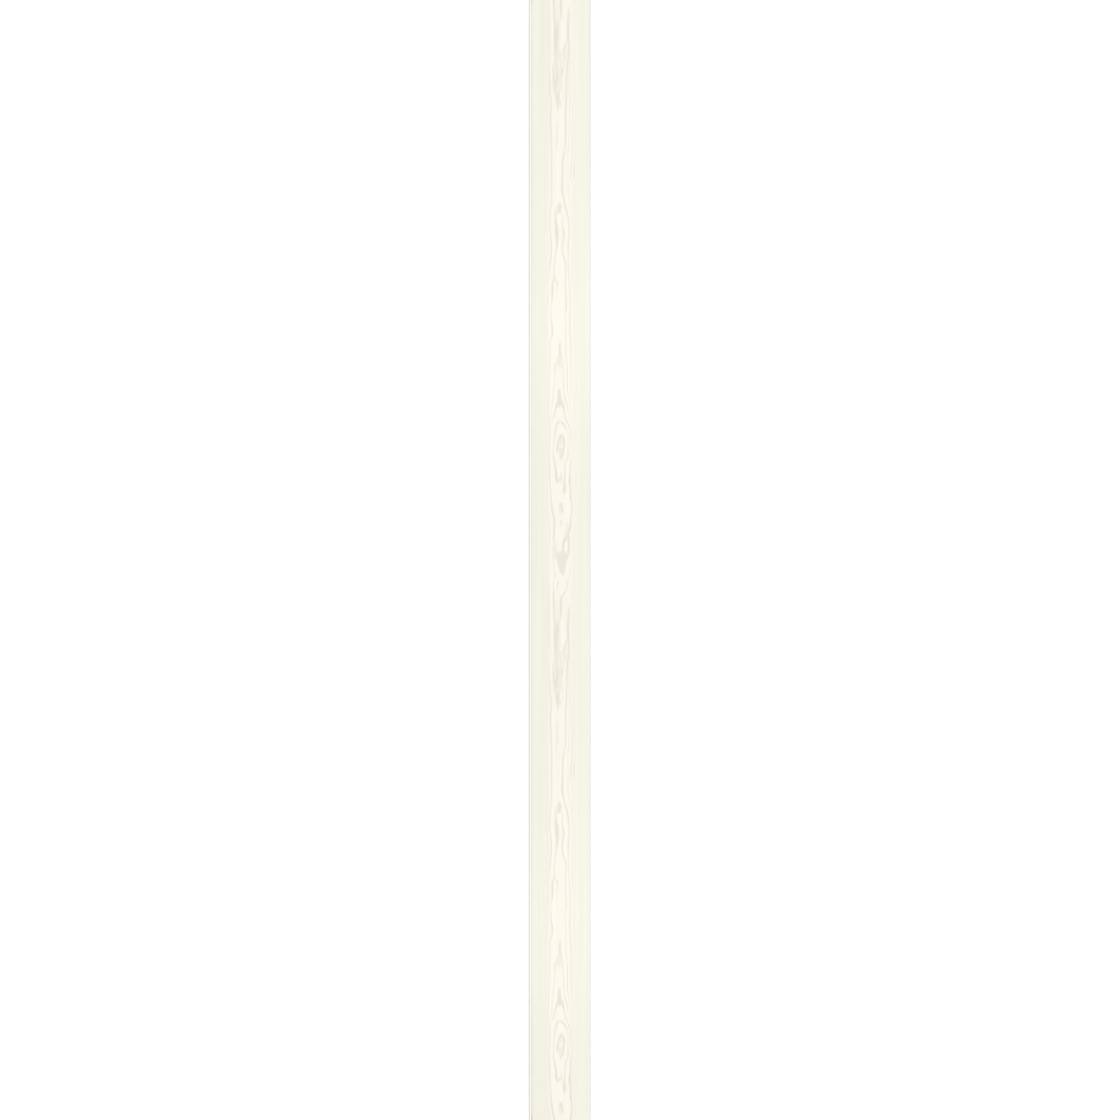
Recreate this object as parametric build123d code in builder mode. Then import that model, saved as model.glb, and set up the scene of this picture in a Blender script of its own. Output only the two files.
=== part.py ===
"""Tongue-and-groove wall panel: one foil-wrapped board of medium-density fibreboard.

The panel lies face up on its back. Its length runs along Y, the tongue points to -X, the groove opens
to +X, and the origin is in the middle of its footprint, on the back.
"""

import os

from build123d import *

# Board, in millimetres
panel_length = 2700.0
cover_width = 143.0  # the face, which is also the pitch from one fitted panel to the next
thickness = 10.0
back_corner_radius = 0.4

# V-joint: both long edges of the face are bevelled, with corners that the foil can turn over
bevel_width = 3.0  # across the face
bevel_drop = 1.6  # down the edge
face_corner_radius = 1.0  # where the face turns into the bevel
edge_corner_radius = 0.5  # where the bevel turns into the edge

# Tongue-and-groove joint
tongue_reach = 7.0  # from the shoulder to the nose
nose_taper_length = 3.0  # the tapered nose guides the tongue home
nose_taper_drop = 1.0
nose_corner_radius = 0.5
groove_height = 4.4
back_lip_thickness = 2.8  # the lip between the groove and the back
back_lip_set_back = 0.5  # the back lip stops short, so that the faces close up first
mouth_chamfer = 0.4  # lead-in on both lips
tongue_play = 0.2  # above and below a fitted tongue
nose_play = 0.6  # ahead of a fitted tongue

# Places in the section that follow from these
groove_side = (cover_width + tongue_reach) / 2
shoulder = groove_side - cover_width
back_lip_end = groove_side - back_lip_set_back
groove_depth = tongue_reach + nose_play
groove_top = back_lip_thickness + groove_height
tongue_thickness = groove_height - 2 * tongue_play
tongue_underside = back_lip_thickness + tongue_play

with BuildPart() as wall_panel:
    with BuildSketch(Plane.XZ) as section:
        # Board between the tongue's shoulder and the groove side
        with Locations((shoulder, 0)):
            Rectangle(cover_width, thickness, align=(Align.MIN, Align.MIN))

        # Bevels along the face
        face_line = section.edges().sort_by(Axis.Y)[-1]
        chamfer(face_line.vertices(), bevel_width, bevel_drop, reference=face_line)
        bevel_feet = section.vertices().group_by(Axis.Y)[1]
        fillet(bevel_feet, edge_corner_radius)
        bevel_heads = section.vertices().group_by(Axis.Y)[-1]
        fillet(bevel_heads, face_corner_radius)

        # Tongue with its tapered nose
        with Locations((shoulder, tongue_underside)):
            Rectangle(tongue_reach, tongue_thickness, align=(Align.MAX, Align.MIN))
        nose_line = section.edges().sort_by(Axis.X)[0]
        chamfer(nose_line.vertices(), nose_taper_drop, nose_taper_length, reference=nose_line)
        nose_corners = section.vertices().group_by(Axis.X)[0]
        fillet(nose_corners, nose_corner_radius)

        # Groove that takes the next panel's tongue, with the back lip cut short
        with Locations((groove_side, back_lip_thickness)):
            Rectangle(groove_depth, groove_height, align=(Align.MAX, Align.MIN), mode=Mode.SUBTRACT)
        with Locations((groove_side, 0)):
            Rectangle(
                back_lip_set_back, back_lip_thickness, align=(Align.MAX, Align.MIN), mode=Mode.SUBTRACT
            )
        front_lip_corner = section.vertices().sort_by_distance((groove_side, groove_top))[0]
        chamfer(front_lip_corner, mouth_chamfer)
        back_lip_corner = section.vertices().sort_by_distance((back_lip_end, back_lip_thickness))[0]
        chamfer(back_lip_corner, mouth_chamfer)

        # Eased corners of the back
        back_corners = section.vertices().group_by(Axis.Y)[0]
        fillet(back_corners, back_corner_radius)

    # Sawn square at both ends
    extrude(amount=panel_length / 2, both=True)

wall_panel.part.label = "wall_panel"

os.makedirs("parts", exist_ok=True)
export_step(wall_panel.part, "parts/wall_panel.step")
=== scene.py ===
"""Looks of a tongue-and-groove wall panel: printed foil over fibreboard, lying face up on a pale floor.

Lengths are in metres. The growth lines of the print and the stops of the colour strips are in millimetres.
"""

import math

import bmesh
import bpy
import numpy as np
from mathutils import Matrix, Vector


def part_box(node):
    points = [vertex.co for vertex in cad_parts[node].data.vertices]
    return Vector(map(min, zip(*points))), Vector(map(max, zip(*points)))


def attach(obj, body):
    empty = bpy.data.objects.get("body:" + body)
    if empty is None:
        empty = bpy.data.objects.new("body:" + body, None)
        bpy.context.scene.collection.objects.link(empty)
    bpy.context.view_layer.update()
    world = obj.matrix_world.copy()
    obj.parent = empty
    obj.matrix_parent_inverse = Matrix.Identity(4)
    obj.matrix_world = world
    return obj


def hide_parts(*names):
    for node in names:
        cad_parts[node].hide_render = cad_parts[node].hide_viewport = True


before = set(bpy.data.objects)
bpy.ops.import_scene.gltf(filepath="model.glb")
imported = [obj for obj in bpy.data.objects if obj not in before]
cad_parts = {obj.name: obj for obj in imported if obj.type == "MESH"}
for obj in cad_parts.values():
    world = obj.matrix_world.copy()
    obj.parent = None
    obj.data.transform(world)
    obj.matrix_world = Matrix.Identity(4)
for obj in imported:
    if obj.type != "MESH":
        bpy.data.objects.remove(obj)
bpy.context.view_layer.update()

# Board
# One strip of medium-density fibreboard, milled to its tongue-and-groove section and sawn square at both
# ends. The mesh is that section, with a fine grid on the face where the print's figure runs.

MM = 0.001
panel_low, panel_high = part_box("wall_panel")
panel_length = panel_high[1] - panel_low[1]
face_height = panel_high[2]
touch = 0.001 * MM  # closer than this is the same place
flat_angle = math.radians(0.1)  # faces that meet flatter than this are one face

figure_left = -36 * MM  # the figure runs along the middle of the face, between these
figure_right = 47 * MM
bevel_margin = 0.3 * MM  # a narrow strip beside each bevel keeps the face flat up to it
figure_columns = 64
margin_columns = 8
panel_rows = 100
figure_rows_in_each = 12

bpy.ops.object.select_all(action="DESELECT")
panel = bpy.data.objects.new("foiled_panel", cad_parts["wall_panel"].data.copy())
bpy.context.scene.collection.objects.link(panel)
bpy.context.view_layer.objects.active = panel
panel.select_set(True)


def pick_edges(wanted):
    """Selects the edges of the panel whose two ends pass the test, and nothing else."""
    bpy.ops.mesh.select_all(action="DESELECT")
    cage = bmesh.from_edit_mesh(panel.data)
    for edge in cage.edges:
        start, end = (corner.co for corner in edge.verts)
        if wanted(start, end):
            edge.select_set(True)
    bmesh.update_edit_mesh(panel.data)


def pick_faces(wanted):
    """Selects the faces of the panel whose corners all pass the test, and nothing else."""
    bpy.ops.mesh.select_all(action="DESELECT")
    for face in bmesh.from_edit_mesh(panel.data).faces:
        if all(wanted(corner.co) for corner in face.verts):
            face.select_set(True)


def on_face(point, left, right):
    """True for a point of the flat face between two places across the panel."""
    return point.z > face_height - touch and left - touch < point.x < right + touch


def cut_across(left, right, columns):
    """Divides the two end edges of a strip of the face into columns."""
    pick_edges(
        lambda start, end: abs(start.y - end.y) < touch
        and on_face(start, left, right)
        and on_face(end, left, right)
    )
    bpy.ops.mesh.subdivide(number_cuts=columns - 1)


bpy.ops.object.mode_set(mode="EDIT")
bpy.ops.mesh.select_mode(type="EDGE")
bpy.ops.mesh.select_all(action="SELECT")
bpy.ops.mesh.remove_doubles(threshold=touch)
bpy.ops.mesh.dissolve_limited(angle_limit=flat_angle)
for end in (panel_low[1], panel_high[1]):
    pick_faces(lambda point: abs(point.y - end) < touch)
    bpy.ops.mesh.dissolve_faces()

cage = bmesh.from_edit_mesh(panel.data)
face_corners = [corner.co.x for corner in cage.verts if corner.co.z > face_height - touch]
face_left = min(face_corners) + bevel_margin
face_right = max(face_corners) - bevel_margin
for side in (face_left, figure_left, figure_right, face_right):
    pick_faces(lambda point: on_face(point, panel_low[0], panel_high[0]))
    bpy.ops.mesh.bisect(plane_co=(side, 0, 0), plane_no=(1, 0, 0))

cut_across(face_left, figure_left, margin_columns)
cut_across(figure_left, figure_right, figure_columns)
cut_across(figure_right, face_right, margin_columns)

pick_edges(lambda start, end: abs(start.y - end.y) > panel_length / 2)
bpy.ops.mesh.subdivide(number_cuts=panel_rows - 1)
pick_edges(
    lambda start, end: abs(start.y - end.y) > touch
    and on_face(start, figure_left, figure_right)
    and on_face(end, figure_left, figure_right)
)
bpy.ops.mesh.subdivide(number_cuts=figure_rows_in_each - 1)
bpy.ops.object.mode_set(mode="OBJECT")

# Growth lines of the print
# The foil shows one pale pine board with its growth rings, printed again every 1.44 m along the roll. The
# dark late wood is drawn line by line, and lies a hair lower than the pale wood, as on an embossed foil.

print_repeat = 1443.0
print_start = 2.0  # from the far end of the panel
line_edge = 1.7  # a line fades out over this, to both sides of its edge
grey_edge = 3.0  # and grey wood over this
corner_reach = 3.0  # a line's corners are rounded off over this, both ways along it
emboss_depth = 0.05 * MM
smooth_angle = math.radians(30)  # edges sharper than this stay sharp

# Each line is a list of stations: along the print, across the panel, half width, darkness
growth_lines = [
    # Outer line on the left, in two lengths, with a spindle and a faint companion beside it
    [(150, -25, 1.0, 0.3), (165, -24.5, 1.6, 0.7), (184, -24.5, 1.8, 0.8), (201, -24, 2.0, 0.9),
     (219, -23.5, 2.2, 0.85), (231, -22, 2.6, 0.8), (242, -20, 2.8, 0.8), (260, -19.5, 2.6, 0.85),
     (270, -21, 2.4, 0.95), (281, -22, 2.4, 1.0), (295, -21.5, 2.5, 0.9), (310, -21, 2.8, 0.8),
     (345, -20, 2.8, 0.75), (360, -19, 2.4, 0.8), (410, -19, 2.3, 0.85), (480, -19, 2.3, 0.75),
     (494, -19.5, 2.2, 0.7), (508, -22, 2.0, 0.7), (520, -23.5, 2.0, 0.7), (550, -23.5, 2.0, 0.7),
     (562, -22, 1.7, 0.8), (572, -21, 1.8, 0.85), (582, -20, 2.0, 0.95), (604, -20, 2.0, 0.95),
     (616, -20.5, 2.1, 0.9), (628, -21.5, 2.2, 0.85), (640, -23.5, 2.2, 0.8), (650, -24.5, 2.0, 0.7),
     (662, -26, 1.4, 0.4), (672, -27, 0.8, 0.2)],
    [(666, -13, 1.4, 0.5), (676, -16, 2.4, 0.9), (694, -17, 3.2, 1.0), (708, -17, 2.8, 0.95),
     (718, -17.5, 2.3, 0.85), (726, -18.5, 1.8, 0.7), (736, -20, 1.5, 0.5), (746, -21.5, 1.3, 0.4),
     (757, -21.5, 1.7, 0.75), (768, -20.5, 1.9, 0.85), (777, -19.5, 2.1, 0.85), (786, -17.5, 2.6, 0.9),
     (800, -17, 2.6, 0.9), (808, -18, 2.4, 0.85), (815, -21.5, 2.2, 0.8), (824, -23, 1.9, 0.75),
     (865, -23, 1.9, 0.8), (885, -23.5, 1.7, 0.65), (911, -24.5, 1.6, 0.6), (946, -25.5, 1.6, 0.65),
     (975, -26.5, 1.6, 0.8), (998, -26.5, 1.2, 0.4), (1012, -24, 1.6, 0.6), (1028, -23, 1.9, 0.8),
     (1067, -23, 1.8, 0.75), (1085, -25, 1.7, 0.65), (1102, -25, 1.8, 0.75), (1119, -24.5, 2.0, 0.9),
     (1130, -24, 2.2, 1.0), (1150, -23.5, 1.7, 0.9), (1166, -22.5, 1.6, 0.75), (1182, -21.5, 1.9, 0.8),
     (1200, -20.5, 2.2, 0.85), (1212, -19.5, 2.5, 0.9), (1222, -18, 2.5, 0.9), (1232, -16.5, 2.5, 0.95),
     (1241, -14.5, 2.6, 0.95), (1250, -12.5, 2.7, 0.95), (1270, -12.5, 2.4, 1.0), (1287, -13, 2.3, 0.95),
     (1298, -14, 2.2, 0.85), (1312, -14.5, 1.6, 0.5), (1330, -14.5, 1.0, 0.2)],
    [(706, -28.5, 1.0, 0.4), (715, -28.5, 1.7, 0.9), (729, -28.5, 1.6, 0.9), (737, -28.5, 0.8, 0.3)],
    [(1222, -23.5, 0.8, 0.3), (1240, -23.5, 1.8, 0.6), (1296, -23.5, 1.9, 0.6), (1340, -23.5, 1.4, 0.3)],
    # Inner line on the left, and the dark streaks that it runs into
    [(1395, -14, 1.4, 0.4), (1411, -14, 2.0, 0.65), (1426, -14, 2.4, 0.9), (1440, -14, 2.6, 1.0),
     (1457, -13.5, 2.8, 1.0), (1470, -13, 2.8, 0.95), (1490, -12.5, 2.8, 0.9), (1505, -12, 2.4, 0.8)],
    [(46, -6, 4.0, 0.4), (52, -6, 5.5, 0.65), (60, -7, 6.2, 0.85), (72, -8, 6.2, 1.0),
     (90, -8.5, 5.8, 1.0), (108, -8.5, 5.6, 1.0), (121, -9, 4.6, 0.9), (133, -9, 3.6, 0.75),
     (145, -8, 3.0, 0.7), (160, -7, 3.0, 0.75), (170, -5.5, 3.6, 0.85), (180, -5, 3.8, 0.95),
     (190, -6.5, 3.8, 0.95), (200, -8, 4.0, 1.0), (207, -8, 4.6, 1.0), (215, -9, 3.0, 0.8)],
    [(148, -16, 1.0, 0.4), (158, -15.5, 1.9, 0.8), (176, -15, 2.3, 0.9), (188, -14.5, 2.6, 0.95),
     (197, -13.5, 3.0, 0.95), (206, -12, 3.2, 0.95), (214, -11, 3.0, 0.9), (224, -9.5, 2.4, 0.8)],
    [(114, -2.5, 0.8, 0.3), (126, -2.5, 1.6, 0.8), (138, -2, 1.2, 0.4)],
    [(161, 7, 2.0, 0.5), (165, 7, 2.8, 0.9), (172, 6, 2.8, 0.95), (180, 5, 2.4, 0.95),
     (186, 4.5, 1.8, 0.7), (191, 4, 1.0, 0.3)],
    [(219, -4, 5.0, 0.5), (223, -4, 6.0, 0.8), (228, -5, 5.2, 0.95), (240, -5, 5.2, 0.95),
     (246, -4, 4.6, 0.95), (253, -3.5, 3.2, 0.85), (263, -3.5, 2.0, 0.7), (273, -4.5, 1.3, 0.45),
     (279, -4.5, 0.8, 0.2)],
    [(243, 2, 1.2, 0.6), (248, 2.5, 2.1, 1.0), (252, 2.5, 1.8, 0.95), (256, 2, 1.0, 0.4)],
    [(284, -5, 1.2, 0.2), (300, -5.5, 2.2, 0.55), (330, -5.5, 2.4, 0.7), (345, -6.5, 2.4, 0.7),
     (362, -8, 1.8, 0.5), (376, -9, 0.8, 0.2)],
    # Ring that closes at the head of the print
    [(1390, 20.5, 1.2, 0.3), (1398, 20, 1.9, 0.6), (1409, 19, 2.2, 0.75), (1419, 16.5, 2.0, 0.6),
     (1427, 12.5, 2.6, 0.75), (1432, 8.5, 3.4, 0.85), (1437, 4.5, 2.8, 0.95), (1446, 4, 3.0, 0.95),
     (1458, 3.5, 3.1, 1.0), (1468, 3.5, 3.1, 0.95), (1480, 3.5, 3.1, 0.8), (1486, 3, 2.6, 0.6),
     (1494, 2, 1.2, 0.2)],
    [(1420, 14.5, 1.2, 0.3), (1432, 14.5, 1.5, 0.35), (1444, 14.5, 1.0, 0.2)],
    # Line on the right, down to where it is set back, and its branches
    [(14, 22.5, 1.5, 0.3), (22, 22.5, 3.0, 0.6), (35, 22.5, 3.4, 0.75), (50, 21, 3.6, 0.8),
     (66, 20.5, 3.6, 0.9), (82, 20.5, 3.4, 0.95), (96, 21, 3.4, 0.9), (106, 22.5, 2.9, 0.85),
     (118, 23.5, 2.6, 0.8), (130, 22.5, 2.9, 0.85), (141, 21, 2.7, 0.9), (150, 20, 2.4, 0.95),
     (160, 19, 2.5, 0.9), (174, 18, 2.5, 0.85), (200, 17, 2.3, 0.75), (222, 16.5, 2.1, 0.85),
     (240, 16.5, 2.2, 0.95), (263, 15.5, 2.2, 0.9), (280, 14.5, 2.3, 0.95), (300, 15.5, 2.3, 0.9),
     (325, 15, 2.2, 0.85), (343, 14.5, 2.2, 0.8), (356, 13.5, 2.0, 0.7), (366, 13, 1.0, 0.3)],
    [(94, 19, 1.6, 0.4), (101, 16.5, 2.4, 0.7), (112, 13, 2.6, 0.75), (122, 10, 2.6, 0.75),
     (129, 6.5, 3.0, 0.6), (136, 3, 2.2, 0.45), (142, 1, 1.2, 0.2)],
    [(124, 12, 1.2, 0.7), (129, 12, 1.7, 1.0), (140, 11.5, 1.8, 0.9), (150, 11, 1.6, 0.65),
     (160, 10.5, 1.2, 0.4)],
    [(136, 26, 0.8, 0.3), (146, 26.5, 1.7, 0.6), (156, 26.5, 1.6, 0.55), (164, 26.5, 0.8, 0.2)],
    # The same line further down, drifting out of the figure
    [(358, 12, 1.4, 0.4), (368, 10.5, 2.3, 0.8), (376, 9.5, 2.4, 0.9), (386, 8, 2.1, 0.95),
     (400, 7.5, 1.8, 1.0), (415, 7.5, 1.9, 1.0), (431, 7, 2.5, 0.95), (446, 6.5, 3.1, 0.9),
     (460, 6.5, 3.3, 0.9), (470, 8, 3.0, 0.85), (479, 10, 2.2, 0.8), (486, 11.5, 2.1, 0.85),
     (493, 13.5, 2.1, 0.9), (504, 16, 2.4, 0.95), (514, 19, 2.3, 0.95), (526, 21, 2.1, 0.9),
     (546, 22.5, 1.9, 0.85), (561, 24, 1.5, 0.9), (568, 23.5, 1.6, 0.9), (576, 21.5, 1.9, 0.85),
     (596, 21, 2.0, 0.95), (610, 21.5, 1.8, 0.75), (628, 21, 1.7, 0.6), (652, 21.5, 1.8, 0.8),
     (666, 22.5, 1.6, 0.75), (682, 24, 1.7, 0.75), (700, 25, 1.8, 0.75), (740, 25.5, 1.7, 0.75),
     (780, 24.5, 2.0, 0.85), (806, 25.5, 2.1, 0.8), (820, 26.5, 2.2, 0.8), (834, 27.5, 2.2, 0.75),
     (850, 27.5, 2.2, 0.6), (900, 28, 2.2, 0.55), (942, 28.5, 2.0, 0.5), (962, 29, 1.0, 0.2)],
    # Fainter lines beyond it
    [(230, 25.5, 1.0, 0.4), (240, 25.5, 1.8, 0.65), (256, 25, 1.8, 0.65), (270, 23.5, 1.3, 0.7),
     (305, 23.5, 1.2, 0.75), (334, 23.5, 1.3, 0.75), (348, 22.5, 1.6, 0.7), (362, 21, 1.6, 0.65),
     (377, 20, 1.4, 0.5), (420, 20.5, 1.4, 0.4), (438, 20.5, 1.6, 0.5), (455, 20.5, 1.8, 0.65),
     (467, 21.5, 1.5, 0.45), (482, 24, 1.5, 0.45), (494, 25, 1.2, 0.3)],
    [(246, 31, 0.8, 0.3), (262, 31, 1.4, 0.6), (290, 30.5, 1.6, 0.7), (310, 30.5, 1.6, 0.8),
     (330, 31, 1.6, 0.8), (362, 30, 1.6, 0.65), (380, 30, 1.6, 0.7), (396, 28.5, 1.6, 0.75),
     (410, 27, 1.7, 0.8), (428, 26.5, 1.7, 0.85), (437, 26.5, 1.0, 0.4)],
    [(144, 34, 0.8, 0.3), (158, 34, 1.5, 0.75), (172, 34, 0.8, 0.3)],
    [(300, 37.5, 1.0, 0.3), (325, 37.5, 1.4, 0.4), (350, 37.5, 0.8, 0.2)],
    [(388, 35, 1.2, 0.4), (400, 35, 2.1, 0.7), (420, 35, 2.2, 0.75), (433, 35, 1.2, 0.3)],
    [(484, 29, 0.8, 0.2), (505, 29, 1.4, 0.45), (527, 29, 1.3, 0.45), (540, 29, 0.8, 0.2)],
    [(600, 29, 0.8, 0.2), (620, 29, 1.4, 0.4), (645, 30.5, 0.8, 0.3), (656, 30.5, 1.6, 0.65),
     (674, 30.5, 1.6, 0.65), (690, 30.5, 0.8, 0.2)],
    [(772, 35.5, 0.8, 0.3), (785, 35.5, 1.8, 0.65), (798, 35.5, 0.8, 0.3)],
    # Long eye: its cap, its left side and its right side
    [(486, -1, 2.4, 0.5), (491, -0.5, 4.0, 0.85), (496, 0.5, 5.0, 0.95), (505, 0, 5.2, 0.95),
     (511, -1, 4.8, 0.8), (517, -3, 2.6, 0.4)],
    [(497, -7, 1.6, 0.4), (506, -9, 2.8, 0.6), (516, -9.5, 3.0, 0.65), (528, -9, 3.4, 0.75),
     (537, -8.5, 3.8, 0.9), (545, -7, 4.8, 1.0), (556, -6.5, 5.0, 1.0), (568, -6, 4.6, 1.0),
     (580, -5.5, 3.8, 1.0), (588, -5.5, 3.0, 0.95), (597, -7.5, 2.6, 0.85), (607, -9, 2.4, 0.8),
     (618, -10, 2.2, 0.75), (630, -11.5, 2.1, 0.75), (648, -13, 2.1, 0.75), (662, -12.5, 2.3, 0.75),
     (670, -11, 2.5, 0.8), (676, -8.5, 2.7, 0.8), (682, -5.5, 2.8, 0.85), (689, -5, 2.0, 0.65),
     (703, -6.5, 1.6, 0.45), (718, -7.5, 1.6, 0.45), (726, -8, 0.8, 0.2)],
    [(509, 4.5, 1.6, 0.6), (518, 6.5, 1.8, 0.75), (530, 6.5, 1.8, 0.75), (541, 6, 2.0, 0.75),
     (551, 8.5, 2.3, 0.85), (561, 10.5, 2.7, 0.95), (569, 10, 2.6, 0.9), (579, 8, 2.3, 0.85),
     (590, 6.5, 2.2, 0.95), (605, 6.5, 2.2, 0.95), (613, 8, 2.4, 0.9), (619, 10.5, 3.0, 0.7),
     (625, 13, 2.8, 0.7), (632, 14.5, 2.2, 0.75), (645, 15, 1.8, 0.8), (690, 14.5, 1.8, 0.75),
     (720, 15.5, 1.8, 0.8), (738, 16.5, 1.9, 0.95), (750, 15.5, 1.8, 0.7), (762, 14, 1.5, 0.5),
     (778, 15, 1.6, 0.55), (811, 15.5, 1.7, 0.6), (850, 15.5, 1.8, 0.65), (860, 16.5, 1.8, 0.65),
     (872, 17.5, 1.6, 0.65), (881, 19, 1.4, 0.7), (888, 19, 1.5, 1.0), (926, 19, 1.5, 0.95),
     (941, 19, 1.5, 1.0), (949, 21, 1.4, 0.6), (960, 23.5, 1.5, 0.6), (975, 25.5, 1.5, 0.55),
     (990, 25.5, 1.4, 0.4), (1005, 24.5, 1.5, 0.4), (1018, 25, 1.0, 0.2)],
    # First spike: its point, its two prongs and its two legs
    [(820, 2, 1.2, 0.5), (826, 1.5, 2.3, 0.9), (836, 0.5, 3.2, 0.95), (846, 1, 3.2, 1.0),
     (854, 2, 3.8, 0.9), (860, 2.5, 3.8, 0.75)],
    [(856, 0, 1.6, 0.8), (864, -0.5, 1.8, 0.9), (869, -1, 0.8, 0.5)],
    [(854, 4.5, 1.8, 0.8), (860, 5, 1.9, 0.9), (868, 5.5, 1.9, 0.85), (876, 6.5, 1.9, 0.75),
     (884, 7.5, 1.8, 0.7), (892, 9, 1.6, 0.7), (905, 9.5, 1.3, 0.75), (920, 10, 1.3, 0.95),
     (936, 10, 1.3, 0.95), (942, 10.5, 1.5, 0.65), (950, 12, 1.9, 0.6), (960, 14, 2.2, 0.65),
     (969, 16.5, 2.2, 0.7), (978, 18.5, 1.8, 0.75), (987, 19.5, 1.2, 0.8), (994, 20, 0.8, 0.3)],
    [(871, -10.5, 1.6, 0.6), (879, -11, 2.3, 0.95), (892, -11, 2.2, 0.9), (900, -12, 1.9, 0.65),
     (915, -12, 1.7, 0.55), (928, -13.5, 1.6, 0.6), (940, -14.5, 1.6, 0.75), (955, -15.5, 1.7, 0.65),
     (969, -17, 1.8, 0.7), (984, -18.5, 1.7, 0.6), (1000, -20, 1.8, 0.55), (1010, -20.5, 1.6, 0.45),
     (1018, -21, 0.8, 0.2)],
    # Second spike and its two legs
    [(934, -0.5, 1.6, 0.5), (939, -0.5, 3.4, 0.95), (950, -0.5, 3.9, 1.0), (960, 0, 4.8, 1.0),
     (967, 0.5, 6.4, 1.0), (973, 0.5, 8.4, 1.0), (977, 1, 8.5, 0.85), (980, 1, 5.0, 0.4)],
    [(972, -6.5, 2.6, 0.95), (980, -8, 2.4, 0.95), (988, -10.5, 2.0, 0.85), (998, -13, 1.9, 0.85),
     (1006, -14.5, 2.0, 0.85), (1011, -16, 1.8, 0.7), (1016, -17, 1.0, 0.2)],
    [(966, 5, 3.4, 1.0), (974, 7.5, 3.4, 1.0), (982, 9.5, 2.6, 0.95), (988, 11, 2.0, 0.9),
     (995, 12.5, 1.7, 0.75), (1002, 14, 1.7, 0.75), (1009, 16, 2.1, 0.85), (1014, 17, 2.1, 0.8),
     (1019, 19.5, 2.1, 0.75), (1025, 22.5, 2.2, 0.75), (1031, 25, 2.2, 0.85), (1036, 26, 1.4, 0.5),
     (1039, 26.5, 0.8, 0.2)],
    # Arch under the spikes: its left side with a hook, a thread, and its right side with a blunt end
    [(1012, 0, 2.0, 0.4), (1015, -1.5, 3.6, 0.8), (1018, -4, 3.4, 0.85), (1022, -6.5, 2.8, 0.85),
     (1027, -8.5, 2.4, 0.8), (1035, -10.5, 2.2, 0.75), (1047, -12, 2.1, 0.75), (1060, -13.5, 2.0, 0.7),
     (1072, -14, 1.9, 0.65), (1090, -15, 1.8, 0.55), (1101, -14.5, 2.1, 0.8), (1108, -13.5, 2.2, 0.85),
     (1115, -11.5, 2.4, 0.85), (1125, -10, 2.5, 0.95), (1135, -8.5, 2.7, 1.0), (1155, -7.5, 3.0, 1.0),
     (1162, -5.5, 1.8, 0.6)],
    [(1149, 1, 2.5, 0.4), (1154, 0, 5.0, 0.7), (1159, -2.5, 4.0, 0.6), (1164, -4, 1.6, 0.2)],
    [(1133, 3, 1.2, 0.4), (1143, 4, 2.2, 0.65), (1152, 4, 2.6, 0.7), (1160, 4, 2.0, 0.5),
     (1166, 4, 1.0, 0.2)],
    [(1012, 0.5, 2.0, 0.4), (1015, 3, 4.0, 0.8), (1018, 6.5, 4.0, 0.9), (1022, 10.5, 3.2, 0.9),
     (1026, 13.5, 2.6, 0.85), (1031, 16.5, 2.2, 0.75), (1036, 18.5, 1.8, 0.5), (1050, 19.5, 1.6, 0.3),
     (1071, 20, 1.6, 0.45), (1085, 20.5, 1.8, 0.7), (1093, 21, 1.9, 0.95), (1100, 20.5, 1.9, 0.85),
     (1106, 17.5, 2.0, 0.75), (1112, 15.5, 2.0, 0.75), (1121, 14.5, 2.0, 0.75), (1135, 13.5, 2.0, 0.75),
     (1147, 12.5, 2.4, 0.7), (1156, 12, 2.8, 0.7), (1164, 11.5, 3.3, 0.75), (1171, 11.5, 3.7, 0.85),
     (1178, 11, 3.5, 1.0), (1185, 10.5, 2.8, 0.95), (1189, 10, 1.2, 0.3)],
    # Small eye: its left side and its right side
    [(1043, 4, 1.2, 0.5), (1048, 3.5, 3.6, 0.95), (1053, 1.5, 3.0, 0.9), (1060, -1.5, 2.9, 0.95),
     (1066, -3.5, 2.5, 0.85), (1072, -4.5, 2.4, 0.85), (1078, -5, 3.1, 1.0), (1083, -5, 2.9, 0.95),
     (1088, -5.5, 1.8, 0.6), (1091, -5.5, 0.8, 0.2)],
    [(1046, 5, 2.6, 0.8), (1050, 7.5, 3.4, 0.9), (1056, 10, 2.8, 0.95), (1065, 11.5, 2.4, 1.0),
     (1074, 10.5, 2.3, 1.0), (1083, 9, 2.5, 0.95), (1091, 7.5, 3.2, 0.9), (1098, 5, 3.8, 0.85),
     (1104, 3, 3.0, 0.75), (1109, 2, 1.4, 0.4)],
    # Line on the right of the lower half, down to the wedge, and the line beside it
    [(1086, 28, 0.8, 0.2), (1100, 27.5, 1.4, 0.5), (1114, 27, 1.9, 0.75), (1130, 26, 2.2, 0.8),
     (1142, 25, 2.3, 0.85), (1152, 24.5, 3.0, 0.95), (1162, 24.5, 3.2, 1.0), (1169, 25.5, 2.5, 0.9),
     (1178, 26.5, 2.1, 0.85), (1192, 26.5, 2.4, 1.0), (1201, 27, 2.3, 0.95), (1208, 28.5, 2.1, 0.85),
     (1215, 29.5, 2.0, 0.85), (1224, 30, 2.0, 0.85), (1236, 29, 2.0, 0.85), (1248, 27, 2.2, 0.85),
     (1259, 26.5, 2.9, 0.95), (1270, 25.5, 3.1, 1.0), (1277, 22.5, 3.2, 0.95), (1285, 20, 3.2, 0.9),
     (1293, 18, 3.8, 0.95), (1299, 14.5, 4.0, 0.95), (1304, 10.5, 3.2, 1.0), (1310, 9, 2.8, 1.0),
     (1319, 8.5, 2.7, 0.95), (1332, 8, 2.7, 0.9)],
    [(1286, 22, 2.8, 0.85), (1300, 22.5, 2.9, 0.95), (1320, 22.5, 2.9, 0.95), (1334, 22.5, 2.7, 0.85)],
    # Wedge, and two flecks beside it
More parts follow.
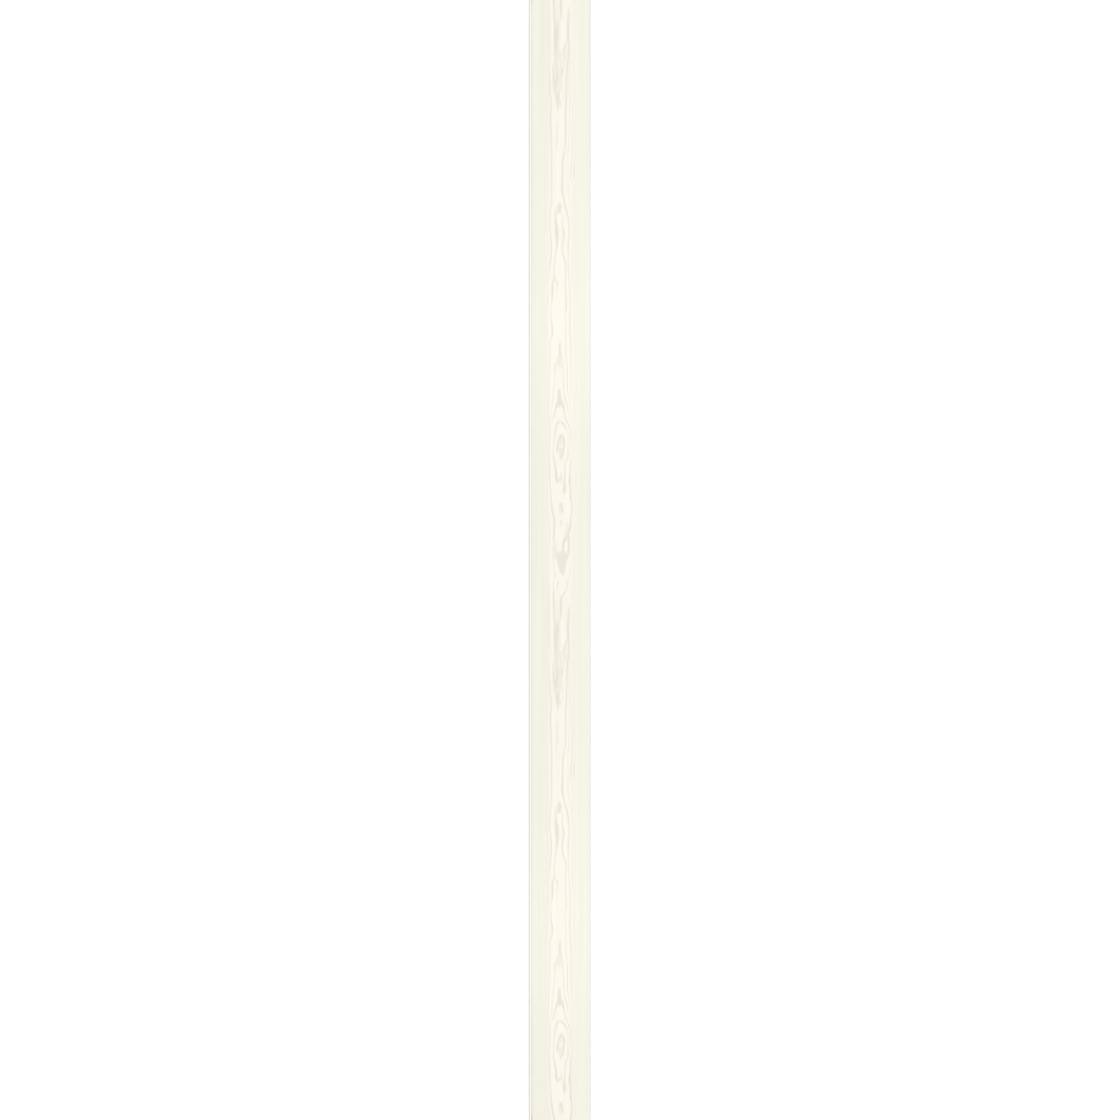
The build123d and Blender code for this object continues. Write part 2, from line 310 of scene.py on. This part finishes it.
    [(1326, 7, 9.0, 0.4), (1330, 6, 16.0, 0.75), (1336, 6, 17.0, 0.8), (1343, 6, 14.8, 0.85),
     (1352, 5.5, 11.7, 0.85), (1362, 5.5, 9.2, 0.85), (1372, 6, 7.0, 0.85), (1379, 7, 5.0, 0.85),
     (1384, 8, 2.6, 0.75), (1387, 9, 1.0, 0.2)],
    [(1330, -17, 1.0, 0.4), (1337, -17, 1.6, 0.7), (1345, -17, 1.0, 0.3)],
    [(1345, -13.5, 0.8, 0.2), (1354, -13, 1.6, 0.5), (1362, -12.5, 0.8, 0.2)],
    # Knots of late wood in the pale middle, and one on the right of it
    [(1209, 3.5, 2.4, 0.5), (1213, 4, 4.4, 0.9), (1220, 4.5, 4.0, 1.0), (1227, 6, 3.4, 1.0),
     (1233, 7.5, 2.6, 0.95), (1237, 7.5, 1.6, 0.5), (1241, 7, 1.0, 0.2)],
    [(1214, 0, 1.8, 0.6), (1226, 0, 2.0, 0.65), (1234, 1.5, 2.2, 0.5), (1240, 4, 2.6, 0.4),
     (1244, 5, 1.5, 0.2)],
    [(1251, 3.5, 2.0, 0.7), (1256, 3.5, 2.4, 1.0), (1263, 3.5, 2.2, 0.85), (1269, 3.5, 1.6, 0.4),
     (1275, 3.5, 0.8, 0.2)],
    [(1398, -3.5, 1.6, 0.5), (1405, -4, 2.4, 0.9), (1412, -5.5, 2.0, 0.75), (1420, -6.5, 1.6, 0.55),
     (1430, -7, 0.8, 0.2)],
    [(1377, -10, 1.0, 0.5), (1382, -10, 1.7, 0.95), (1389, -10, 1.6, 0.75), (1396, -9.5, 0.8, 0.3)],
    [(1366, 25.5, 1.0, 0.4), (1378, 25.5, 1.7, 0.7), (1390, 25, 1.0, 0.3)],
    # Short dashes along the left margin
    [(64, -23.5, 0.8, 0.4), (73, -23.5, 2.2, 0.85), (82, -23, 0.8, 0.3)],
    [(320, -34, 0.8, 0.2), (336, -34, 1.4, 0.45), (352, -34, 0.8, 0.2)],
    [(562, -29, 0.8, 0.3), (580, -29, 1.4, 0.75), (604, -29, 0.8, 0.3)],
    [(640, -32, 0.8, 0.2), (652, -32, 1.3, 0.5), (664, -32, 0.8, 0.2)],
    [(935, -32.5, 0.8, 0.3), (950, -33, 1.6, 0.6), (966, -33, 0.8, 0.3)],
    [(1270, -31.5, 0.8, 0.3), (1284, -31.5, 1.4, 0.7), (1298, -31.5, 0.8, 0.3)],
    [(1298, -33, 1.0, 0.3), (1306, -33, 1.6, 0.65), (1318, -33, 1.0, 0.3)],
    [(1343, -34, 0.8, 0.3), (1362, -34, 1.4, 0.75), (1383, -34, 0.8, 0.3)],
    [(1430, -31.5, 0.8, 0.3), (1443, -31.5, 1.3, 0.7), (1470, -31.5, 1.2, 0.6), (1474, -31.5, 0.8, 0.2)],
    # Short dashes along the right margin
    [(914, 41, 0.8, 0.3), (927, 41, 1.8, 0.6), (939, 41, 0.8, 0.3)],
    [(936, 44, 0.8, 0.3), (949, 44.5, 1.8, 0.6), (960, 44.5, 0.8, 0.3)],
    [(1060, 35.5, 0.8, 0.2), (1071, 35.5, 1.5, 0.55), (1082, 35.5, 0.8, 0.2)],
    [(1148, 40, 0.8, 0.3), (1162, 40, 1.7, 0.65), (1176, 41.5, 0.8, 0.3)],
    [(1168, 43.5, 0.8, 0.3), (1180, 44, 1.5, 0.55), (1190, 44, 0.8, 0.2)],
    [(1424, 31.5, 1.0, 0.4), (1431, 31.5, 1.6, 0.75), (1438, 31.5, 0.8, 0.3)],
]

# Grey wood around some of the lines, with soft edges, given in the same way
grey_wood = [
    # Around the streaks, and beside them
    [(112, -6, 3.0, 0.3), (125, -5, 8.0, 0.45), (140, -4, 10.0, 0.45), (160, -4, 11.0, 0.45),
     (180, -4, 11.0, 0.4), (205, -4.5, 10.0, 0.5), (221, -5, 8.0, 0.5), (228, -6, 5.0, 0.3),
     (245, -5, 4.5, 0.25), (262, -4, 3.0, 0.2), (275, -4, 1.5, 0.1)],
    [(1443, -6, 4.0, 0.25), (1480, -5, 5.0, 0.3), (1492, -5, 5.0, 0.3)],
    [(46, 0, 2.5, 0.35), (60, 0, 2.5, 0.4), (90, -2, 2.5, 0.4), (125, -2.5, 2.5, 0.35)],
    [(1400, -24, 2.0, 0.2), (1443, -25, 3.0, 0.35), (1530, -25, 3.0, 0.4), (1575, -23, 2.5, 0.3),
     (1595, -22, 1.5, 0.15)],
    [(106, 18, 2.0, 0.3), (118, 18, 3.0, 0.45), (135, 17, 3.0, 0.4), (155, 15.5, 2.5, 0.3),
     (170, 15, 1.5, 0.2)],
    [(150, 23, 3.0, 0.2), (172, 21.5, 5.0, 0.3), (200, 21.5, 5.0, 0.3), (222, 21.5, 4.0, 0.25),
     (245, 22, 2.5, 0.15)],
    [(186, -1, 2.0, 0.3), (195, 0, 4.5, 0.4), (208, 1, 4.5, 0.4), (214, 3, 2.4, 0.4), (222, 3, 1.8, 0.3)],
    [(184, -19, 1.0, 0.2), (200, -19, 2.0, 0.35), (218, -18, 2.0, 0.3), (228, -17, 1.0, 0.15)],
    # Inside the long eye, between the prongs of the first spike, and in the core of the small eye
    [(552, 4.5, 1.5, 0.3), (565, 5, 2.0, 0.4), (580, 4.5, 1.5, 0.3)],
    [(856, -1, 3.5, 0.4), (866, -2, 5.5, 0.55), (873, -2, 6.5, 0.55), (879, -0.5, 4.2, 0.5),
     (885, 1.5, 2.5, 0.45), (889, 2, 1.0, 0.2)],
    [(1054, 4, 3.0, 0.6), (1064, 3.5, 3.0, 0.6), (1069, 3, 3.5, 0.4), (1082, 2, 5.5, 0.6),
     (1094, 3, 5.0, 0.6), (1104, 2.5, 3.0, 0.5)],
    # To the right of the arch and its blunt end, around the knots, and on both sides above the wedge
    [(1030, 25, 2.0, 0.2), (1050, 24.5, 4.0, 0.3), (1075, 24, 3.0, 0.2)],
    [(1160, 15, 1.5, 0.3), (1172, 15.5, 2.5, 0.5), (1184, 14.5, 2.2, 0.5), (1192, 13, 1.0, 0.2)],
    [(1209, 4, 3.0, 0.3), (1214, 4, 5.0, 0.5), (1224, 4, 4.5, 0.4), (1236, 4, 4.0, 0.3),
     (1246, 4.5, 1.5, 0.15)],
    [(1252, 6, 1.0, 0.3), (1259, 6, 1.8, 0.4), (1268, 5, 1.0, 0.2)],
    [(1296, -11, 2.0, 0.3), (1312, -11.5, 5.0, 0.5), (1328, -11.5, 6.0, 0.5), (1342, -13, 4.5, 0.45),
     (1360, -13, 3.5, 0.3), (1400, -13, 2.0, 0.15)],
    [(1250, 19, 1.2, 0.3), (1258, 18.5, 2.0, 0.5), (1270, 18.5, 2.5, 0.55), (1280, 16.5, 2.5, 0.5),
     (1290, 13.5, 2.5, 0.5), (1299, 9.5, 2.5, 0.45), (1308, 6, 2.0, 0.4), (1332, 5, 1.5, 0.3)],
]

# Pale islets that break the lines, given in the same way
pale_islets = [
    [(46, 8, 1.5, 0.4), (55, 9, 4.5, 0.7), (80, 9.5, 5.5, 0.8), (98, 8.5, 4.5, 0.7),
     (112, 6, 3.0, 0.5), (123, 4, 1.5, 0.3)],
    [(133, 7, 0.8, 0.3), (139, 7, 1.2, 0.5), (147, 6, 0.8, 0.2)],
    [(142, 0, 1.2, 0.4), (150, 0, 2.0, 0.7), (158, 0, 2.0, 0.7), (166, 0.5, 1.2, 0.3)],
    [(158, 12, 1.0, 0.4), (170, 12, 1.6, 0.7), (200, 11.5, 1.2, 0.5)],
    [(211, -3, 1.5, 0.3), (217, -4, 3.0, 0.6), (221, -4, 1.5, 0.3)],
    [(120, -26.5, 1.0, 0.3), (130, -26.5, 1.8, 0.7), (142, -26.5, 1.0, 0.3)],
    [(136, -17.5, 1.0, 0.3), (147, -18.5, 1.8, 0.6), (160, -20, 1.2, 0.3)],
    [(262, 27, 0.8, 0.3), (290, 27, 1.2, 0.6), (340, 26.5, 1.2, 0.6), (352, 26, 0.8, 0.3)],
    [(322, 19.5, 0.8, 0.3), (336, 19.5, 1.6, 0.8), (350, 18.5, 0.8, 0.3)],
    [(360, 25.5, 1.0, 0.4), (380, 24.5, 1.7, 0.7), (400, 24, 1.6, 0.6), (425, 23.5, 1.2, 0.4),
     (445, 24, 1.2, 0.5), (460, 24, 0.8, 0.2)],
    [(514, 1.5, 1.2, 0.4), (520, 1, 3.0, 0.7), (527, 1, 3.6, 0.8), (534, 0.5, 3.0, 0.7),
     (542, 1.5, 1.6, 0.3)],
    [(552, 2, 0.8, 0.3), (565, 2, 1.2, 0.5), (580, 2, 0.8, 0.3)],
    [(556, -24.5, 0.8, 0.3), (568, -24.5, 1.2, 0.7), (590, -24.5, 1.0, 0.6), (608, -24.5, 0.8, 0.3)],
    [(560, -32.5, 0.8, 0.3), (575, -32.5, 1.8, 0.8), (604, -32.5, 1.8, 0.8), (614, -32.5, 0.8, 0.3)],
    [(684, -33, 0.8, 0.3), (698, -33, 1.8, 0.9), (715, -33, 1.4, 0.6), (735, -33, 0.8, 0.2)],
    [(642, 35, 0.8, 0.3), (656, 35, 1.6, 0.7), (678, 35, 0.8, 0.3)],
    [(662, 26.5, 0.8, 0.4), (675, 26.5, 1.2, 0.9), (688, 27, 0.8, 0.3)],
    [(732, 34.5, 0.8, 0.3), (742, 34.5, 1.6, 0.6), (752, 34.5, 0.8, 0.3)],
    [(936, 7.5, 0.8, 0.4), (945, 8, 1.6, 0.8), (955, 7.5, 1.4, 0.5), (964, 8, 0.8, 0.2)],
    [(974, 21.5, 0.8, 0.4), (982, 22, 1.2, 0.9), (992, 22.5, 0.8, 0.4)],
    [(1024, 1, 3.0, 0.4), (1030, 2.5, 5.5, 0.7), (1035, 4, 6.0, 0.6), (1040, 6, 3.0, 0.3)],
    [(1066, -9, 0.8, 0.3), (1078, -10, 1.3, 0.6), (1090, -9.5, 1.7, 0.7), (1098, -9, 0.8, 0.3)],
    [(1068, 3, 1.5, 0.5), (1073, 4, 2.8, 0.8), (1078, 5.5, 1.8, 0.5)],
    [(1138, -2, 0.8, 0.3), (1145, -2, 1.5, 0.6), (1151, -2, 0.8, 0.3)],
    [(1249, 21.5, 0.8, 0.3), (1256, 21.5, 1.3, 0.7), (1264, 21.5, 0.8, 0.3)],
    [(1288, -2.5, 0.8, 0.4), (1297, -2.5, 1.1, 0.7), (1308, -2.5, 0.8, 0.3)],
    [(1298, 2.5, 0.8, 0.4), (1306, 2.5, 1.1, 0.8), (1313, 2.5, 0.8, 0.3)],
    [(1310, 15.5, 1.2, 0.5), (1318, 15.5, 1.9, 0.7), (1328, 15.5, 1.9, 0.8), (1331, 15.5, 1.0, 0.3)],
    [(1340, -10.5, 0.8, 0.4), (1347, -10, 1.2, 0.7), (1357, -9.5, 0.8, 0.3)],
    [(1346, -31.5, 0.8, 0.4), (1362, -31.5, 1.4, 0.8), (1380, -31.5, 0.8, 0.3)],
    [(1364, 28, 0.8, 0.3), (1380, 28, 1.4, 0.7), (1402, 28, 1.8, 0.7), (1420, 27.5, 1.0, 0.3)],
    [(1378, 13, 0.8, 0.3), (1383, 12.5, 1.6, 0.8), (1389, 13, 0.8, 0.3)],
    [(1384, 44.5, 0.8, 0.3), (1396, 44.5, 1.6, 0.8), (1410, 44.5, 0.8, 0.3)],
    [(1434, -34, 0.8, 0.4), (1443, -34, 1.3, 0.7), (1470, -34, 1.2, 0.5), (1476, -34, 0.8, 0.2)],
]

# Pale band that carries the figure: along the print, its left side, its right side, how pale it is
pale_band = [
    (0, -25, 29, 0.4), (60, -25, 29, 0.35), (120, -25, 29, 0.25), (225, -25, 29, 0.25), (270, -25, 29, 0.5),
    (340, -25, 29, 0.4), (480, -25, 29, 0.42), (620, -25, 29, 0.45), (700, -25, 29, 0.35),
    (790, -27, 30, 0.4), (890, -27, 30, 0.4), (960, -26, 29, 0.45), (1000, -25, 28, 0.5),
    (1050, -25, 26, 0.5), (1190, -25, 26, 0.55), (1260, -25, 29, 0.5), (1400, -25, 29, 0.5),
    (1443, -25, 29, 0.4),
]
band_fade = (3.0, 9.0)  # the left edge is sharp, and the right one fades
rim_reach = 4.5  # beside each line the wood is paler over this distance
rim_paleness = 0.55

# The whole print grows lighter and darker again along its length
print_tone = [(0, 0.988), (400, 0.996), (600, 1.006), (750, 1.02), (930, 1.014), (1050, 0.993),
              (1150, 0.989), (1380, 0.984), (1443, 0.988)]


def eased(share):
    """Smooth step from 0 to 1."""
    share = np.clip(share, 0, 1)
    return share * share * (3 - 2 * share)


def read_stations(stations, along):
    """The other values of the stations at each place along the print, with their corners rounded off."""
    at, *sizes = np.array(stations, dtype=float).T
    steps = (-corner_reach, 0, corner_reach)
    return [np.mean([np.interp(along + step, at, size) for step in steps], axis=0) for size in sizes]


def inside(beyond, edge):
    """How far a place belongs to a mark: 1 well inside its edge, and 0 well outside it."""
    return eased(0.5 - beyond / (2 * edge))


corners = np.empty(len(panel.data.vertices) * 3)
panel.data.vertices.foreach_get("co", corners)
corners = corners.reshape(-1, 3)
across = corners[:, 0] / MM
along = np.mod((panel_high[1] - corners[:, 1]) / MM - print_start, print_repeat)
in_figure = (corners[:, 0] > figure_left) & (corners[:, 0] < figure_right)
printed = in_figure & (corners[:, 2] > face_height - touch)


def marks_along(stations):
    """Corners beside one mark, how far each lies outside its edge, and how strong the mark is there.

    A mark may start near the end of one print and run on into the next.
    """
    for turn in (-1, 0, 1):
        place = along + turn * print_repeat
        here = np.flatnonzero(printed & (place > stations[0][0]) & (place < stations[-1][0]))
        middle, half_width, strength = read_stations(stations, place[here])
        yield here, abs(across[here] - middle) - half_width, strength


late_wood = np.zeros(len(corners))
rims = np.zeros(len(corners))
for stations in growth_lines:
    for here, beyond, darkness in marks_along(stations):
        late_wood[here] = np.maximum(late_wood[here], darkness * inside(beyond, line_edge))
        rims[here] = np.maximum(rims[here], darkness * eased(1 - beyond / rim_reach))
for stations in grey_wood:
    for here, beyond, darkness in marks_along(stations):
        late_wood[here] = np.maximum(late_wood[here], darkness * inside(beyond, grey_edge))
for stations in pale_islets:
    for here, beyond, paleness in marks_along(stations):
        pale = paleness * inside(beyond, line_edge)
        late_wood[here] *= 1 - pale
        rims[here] = np.maximum(rims[here], pale)

band_left, band_right, band_paleness = read_stations(pale_band, along)
band = eased((across - band_left) / band_fade[0] + 0.5) * eased((band_right - across) / band_fade[1] + 0.5)
band *= band_paleness
early_wood = np.where(printed, band + (1 - band) * rim_paleness * rims, 0)
tone = np.interp(along, *np.array(print_tone).T)

corners[:, 2] -= emboss_depth * late_wood
panel.data.vertices.foreach_set("co", corners.ravel())
for name, values in (("late_wood", late_wood), ("early_wood", early_wood), ("print_tone", tone)):
    layer = panel.data.attributes.new(name, "FLOAT", "POINT")
    layer.data.foreach_set("value", values)
panel.data.update()
bpy.ops.object.shade_smooth_by_angle(angle=smooth_angle)

# Decor foil
# A thin printed foil with a satin lacquer, glued over the face, the bevels and the top of the tongue. Its
# ground is cream with fine straight grain and paler along the figure. Painted shade darkens it over the nose
# and in the crease at the tongue's shoulder, and painted light brightens the top of the tongue and the
# bevels.


def add_node(tree, kind, inputs, **settings):
    """Adds a shader node. Each input is given a value, or joined to another node's output."""
    made = tree.nodes.new(kind)
    for name, value in settings.items():
        setattr(made, name, value)
    for socket, value in inputs.items():
        if isinstance(value, bpy.types.NodeSocket):
            tree.links.new(value, made.inputs[socket])
        else:
            made.inputs[socket].default_value = value
    return made


# Grain that the foil and the board both show: noise drawn out along the panel, in streaks of a given size
drawn_grain = bpy.data.node_groups.new("drawn_grain", "ShaderNodeTree")
drawn_grain.interface.new_socket("Place", in_out="INPUT", socket_type="NodeSocketVector")
for name in ("Width", "Length", "Detail"):
    drawn_grain.interface.new_socket(name, in_out="INPUT", socket_type="NodeSocketFloat")
drawn_grain.interface.new_socket("Grain", in_out="OUTPUT", socket_type="NodeSocketFloat")
given = add_node(drawn_grain, "NodeGroupInput", {}).outputs
streak_size = add_node(
    drawn_grain, "ShaderNodeCombineXYZ", {"X": given["Width"], "Y": given["Length"], "Z": given["Width"]}
)
drawn = add_node(
    drawn_grain, "ShaderNodeVectorMath", {0: given["Place"], 1: streak_size.outputs[0]}, operation="DIVIDE"
)
noise = add_node(
    drawn_grain, "ShaderNodeTexNoise", {"Vector": drawn.outputs[0], "Scale": 1.0, "Detail": given["Detail"]}
)
add_node(drawn_grain, "NodeGroupOutput", {"Grain": noise.outputs["Fac"]})


def grain(tree, place, width, length, detail=2.0):
    """Streaks of about this width and length."""
    inputs = {"Place": place, "Width": width, "Length": length, "Detail": detail}
    return add_node(tree, "ShaderNodeGroup", inputs, node_tree=drawn_grain).outputs["Grain"]


def ramp(tree, value, low, high, from_value, to_value):
    """Value that goes from one level to another, and stays there, as another one runs from low to high."""
    mapped = add_node(
        tree,
        "ShaderNodeMapRange",
        {"Value": value, "From Min": low, "From Max": high, "To Min": from_value, "To Max": to_value},
    )
    return mapped.outputs["Result"]


def blend_colours(tree, share, first, second):
    """One colour over another, by a share from 0 to 1."""
    return add_node(tree, "ShaderNodeMix", {0: share, 6: first, 7: second}, data_type="RGBA").outputs[2]


def multiply(tree, first, second):
    """Product of two values."""
    return add_node(tree, "ShaderNodeMath", {0: first, 1: second}, operation="MULTIPLY").outputs[0]


def colour_strip(tree, distance, stops):
    """Colour that follows a distance, from stops given in millimetres."""
    first, last = stops[0][0], stops[-1][0]
    strip = add_node(tree, "ShaderNodeValToRGB", {"Fac": ramp(tree, distance, first * MM, last * MM, 0, 1)})
    elements = strip.color_ramp.elements
    while len(elements) < len(stops):
        elements.new(1)
    for element, (place, colour) in zip(elements, stops):
        element.position = (place - first) / (last - first)
        element.color = colour
    return strip.outputs["Color"]


def new_material(name):
    """Empty material, and its node tree."""
    made = bpy.data.materials.new(name)
    made.use_nodes = True
    made.node_tree.nodes.clear()
    return made, made.node_tree


def lay_surface(tree, inputs):
    """Gives a material its surface, from the inputs of its shader."""
    shader = add_node(tree, "ShaderNodeBsdfPrincipled", inputs)
    add_node(tree, "ShaderNodeOutputMaterial", {"Surface": shader.outputs[0]})


foil, tree = new_material("decor_foil")
place = add_node(tree, "ShaderNodeTexCoord", {}).outputs["Object"]
across_panel = add_node(tree, "ShaderNodeSeparateXYZ", {0: place}).outputs["X"]
late = add_node(tree, "ShaderNodeAttribute", {}, attribute_name="late_wood").outputs["Fac"]
early = add_node(tree, "ShaderNodeAttribute", {}, attribute_name="early_wood").outputs["Fac"]
along_tone = add_node(tree, "ShaderNodeAttribute", {}, attribute_name="print_tone").outputs["Fac"]
fibres = grain(tree, place, 0.9 * MM, 70 * MM)
bands = grain(tree, place, 9 * MM, 500 * MM)
pores = grain(tree, place, 0.35 * MM, 9 * MM)
pore_depth = 0.02 * MM
grain_range = (0.3, 0.7)  # most of the grain's noise lies between these
ink_range = (0.8, 1.15)  # how much ink a growth line holds, from fibre to fibre
streak_range = (0.98, 1.02)  # how bright the foil is, from streak to streak
foil_roughness = (0.42, 0.52)

left_ground = (0.802, 0.780, 0.687, 1)
right_ground = (0.824, 0.801, 0.705, 1)
early_colour = (0.905, 0.888, 0.790, 1)
late_colour = (0.712, 0.694, 0.588, 1)
# Painted shade: the foil over the nose of the tongue is drawn darker and greyer than the face, standing in
# for the shade there.
nose_painted_shade = (0.630, 0.630, 0.600, 1)
# Painted highlight: the top of the tongue is drawn paler than the face.
tongue_painted_highlight = (0.900, 0.895, 0.825, 1)
# Painted shade: the crease at the tongue's shoulder is drawn darker, standing in for the shade in it.
crease_painted_shade = (0.690, 0.685, 0.635, 1)
# Painted light: both bevels are drawn paler and greyer than the face beside them, the left one more, so that
# their shading stays faint.
left_bevel_painted_light = (0.845, 0.835, 0.775, 1)
right_bevel_painted_light = (0.815, 0.820, 0.760, 1)

# Colour of the ground from the nose to the groove side, by the distance across the panel in millimetres.
# Over the nose and in the crease it holds painted shade, and on the top of the tongue and the bevels painted
# light.
ground_across = [
    (-75, left_ground),
    (-74.0, left_ground),
    (-73.6, nose_painted_shade),
    (-71.5, nose_painted_shade),
    (-71.1, tongue_painted_highlight),
    (-68.9, tongue_painted_highlight),
    (-68.4, crease_painted_shade),
    (-67.5, crease_painted_shade),
    (-66.6, left_bevel_painted_light),
    (-64.5, left_ground),
    (-30, left_ground),
    (40, right_ground),
    (68.6, right_ground),
    (70.4, right_bevel_painted_light),
    (75, right_bevel_painted_light),
]
ground = colour_strip(tree, across_panel, ground_across)
pale_wood = blend_colours(tree, early, ground, early_colour)
inked = multiply(tree, late, ramp(tree, fibres, *grain_range, *ink_range))
printed_wood = blend_colours(tree, inked, pale_wood, late_colour)
fine_streaks = ramp(tree, fibres, *grain_range, *streak_range)
broad_streaks = ramp(tree, bands, *grain_range, *streak_range)
streaks = multiply(tree, multiply(tree, fine_streaks, broad_streaks), along_tone)
streaked = add_node(
    tree, "ShaderNodeVectorMath", {"Vector": printed_wood, "Scale": streaks}, operation="SCALE"
)
relief = add_node(tree, "ShaderNodeBump", {"Height": pores, "Strength": 0.25, "Distance": pore_depth})
lay_surface(
    tree,
    {
        "Base Color": streaked.outputs["Vector"],
        "Roughness": ramp(tree, fibres, *grain_range, *foil_roughness),
        "Normal": relief.outputs["Normal"],
        "Specular IOR Level": 0.35,
    },
)

# Raw fibreboard
# Bare board shows where the foil stops: in the groove, under the tongue, on the back and on the sawn ends.
# It is pressed from short wood fibres, so it is beige with fine flecks, dull, and darker towards both faces.

raw_board, tree = new_material("raw_fibreboard")
place = add_node(tree, "ShaderNodeTexCoord", {}).outputs["Object"]
height = add_node(tree, "ShaderNodeSeparateXYZ", {0: place}).outputs["Z"]
flecks = grain(tree, place, 0.5 * MM, 1.4 * MM, detail=4.0)
clouds = grain(tree, place, 14 * MM, 40 * MM)
fuzz_depth = 0.05 * MM
fleck_range = (0.35, 0.65)  # the flecks stand out more sharply than the other grain
fleck_share = (0, 0.8)
cloud_share = (0, 0.3)
board_roughness = (0.82, 0.94)

dense_colour = (0.43, 0.312, 0.196, 1)
loose_colour = (0.53, 0.398, 0.262, 1)
fleck_colour = (0.38, 0.270, 0.165, 1)
cloud_colour = (0.57, 0.440, 0.298, 1)

# Colour through the thickness of the board, by the height over its back in millimetres
board_thickness = face_height / MM
dense_layer = 1.5
board_layers = [
    (0, dense_colour),
    (dense_layer, loose_colour),
    (board_thickness - dense_layer, loose_colour),
    (board_thickness, dense_colour),
]
layered = colour_strip(tree, height, board_layers)
flecked = blend_colours(tree, ramp(tree, flecks, *fleck_range, *fleck_share), layered, fleck_colour)
clouded = blend_colours(tree, ramp(tree, clouds, *grain_range, *cloud_share), flecked, cloud_colour)
fuzz = add_node(tree, "ShaderNodeBump", {"Height": flecks, "Strength": 0.5, "Distance": fuzz_depth})
lay_surface(
    tree,
    {
        "Base Color": clouded,
        "Roughness": ramp(tree, flecks, *fleck_range, *board_roughness),
        "Normal": fuzz.outputs["Normal"],
        "Specular IOR Level": 0.25,
    },
)

foil_end = 5.9 * MM  # the foil ends at this height on the nose, and at the next one on both outer edges
edge_foil_end = 7.0 * MM
outer_edge = 67.9 * MM  # from the middle of the panel, just short of the tongue's shoulder
least_upward = 0.05  # a face that turns up by more than this takes the foil
least_sideways = 0.9  # and so does an outer edge that turns aside by more than this
panel.data.materials.clear()
panel.data.materials.append(foil)
panel.data.materials.append(raw_board)
for face in panel.data.polygons:
    faces_up = face.normal.z > least_upward and face.center.z > foil_end
    at_outer_edge = abs(face.center.x) > outer_edge and face.center.z > edge_foil_end
    faces_out = abs(face.normal.x) > least_sideways and at_outer_edge
    face.material_index = 0 if faces_up or faces_out else 1

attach(panel, "root")
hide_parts("wall_panel")

# Floor
# A seamless white paper sweep, lit so that it stays white right up to the panel.

bpy.ops.object.select_all(action="DESELECT")
floor_size = 60
floor_gap = 0.2 * MM
bpy.ops.mesh.primitive_plane_add(size=floor_size, location=(0, 0, -floor_gap))
floor = bpy.context.object
floor.name = "floor"
paper, tree = new_material("white_paper")
lay_surface(
    tree,
    {
        "Base Color": (0.9, 0.9, 0.9, 1),
        "Roughness": 0.9,
        "Emission Color": (1, 1, 1, 1),
        "Emission Strength": 0.4,
    },
)
floor.data.materials.append(paper)

# Light
# Soft studio light: an even white room, and one broad lamp high over the panel, a little to the left.

world = bpy.data.worlds.new("studio")
bpy.context.scene.world = world
world.use_nodes = True
world.node_tree.nodes["Background"].inputs["Color"].default_value = (1, 1, 1, 1)
world.node_tree.nodes["Background"].inputs["Strength"].default_value = 0.58

lamp_lean = (math.radians(-4), math.radians(-8), 0)  # it shines from the left and the far end
lamp_data = bpy.data.lights.new("broad_lamp", "SUN")
lamp_data.energy = 1.6
lamp_data.angle = math.radians(25)
lamp = bpy.data.objects.new("broad_lamp", lamp_data)
lamp.rotation_euler = lamp_lean
bpy.context.scene.collection.objects.link(lamp)

bpy.context.scene.view_settings.view_transform = "Standard"
bpy.context.scene.view_settings.look = "None"

# Camera
# It looks straight down on the face from high up with a long lens, so both long edges show alike. The
# panel runs out of the picture at both ends, and its middle lies half a pixel left of the picture's.

out_of_view = 2 * MM  # of the panel, at each end
picture_height = panel_length - 2 * out_of_view
lens = 160.0
sensor = 36.0
camera_height = picture_height * lens / sensor
middle_offset = 1.2 * MM

camera_data = bpy.data.cameras.new("camera")
camera_data.lens = lens
camera_data.sensor_width = sensor
camera_data.clip_end = 100
camera = bpy.data.objects.new("camera", camera_data)
camera.location = (middle_offset, 0, face_height + camera_height)
bpy.context.scene.collection.objects.link(camera)
bpy.context.scene.camera = camera
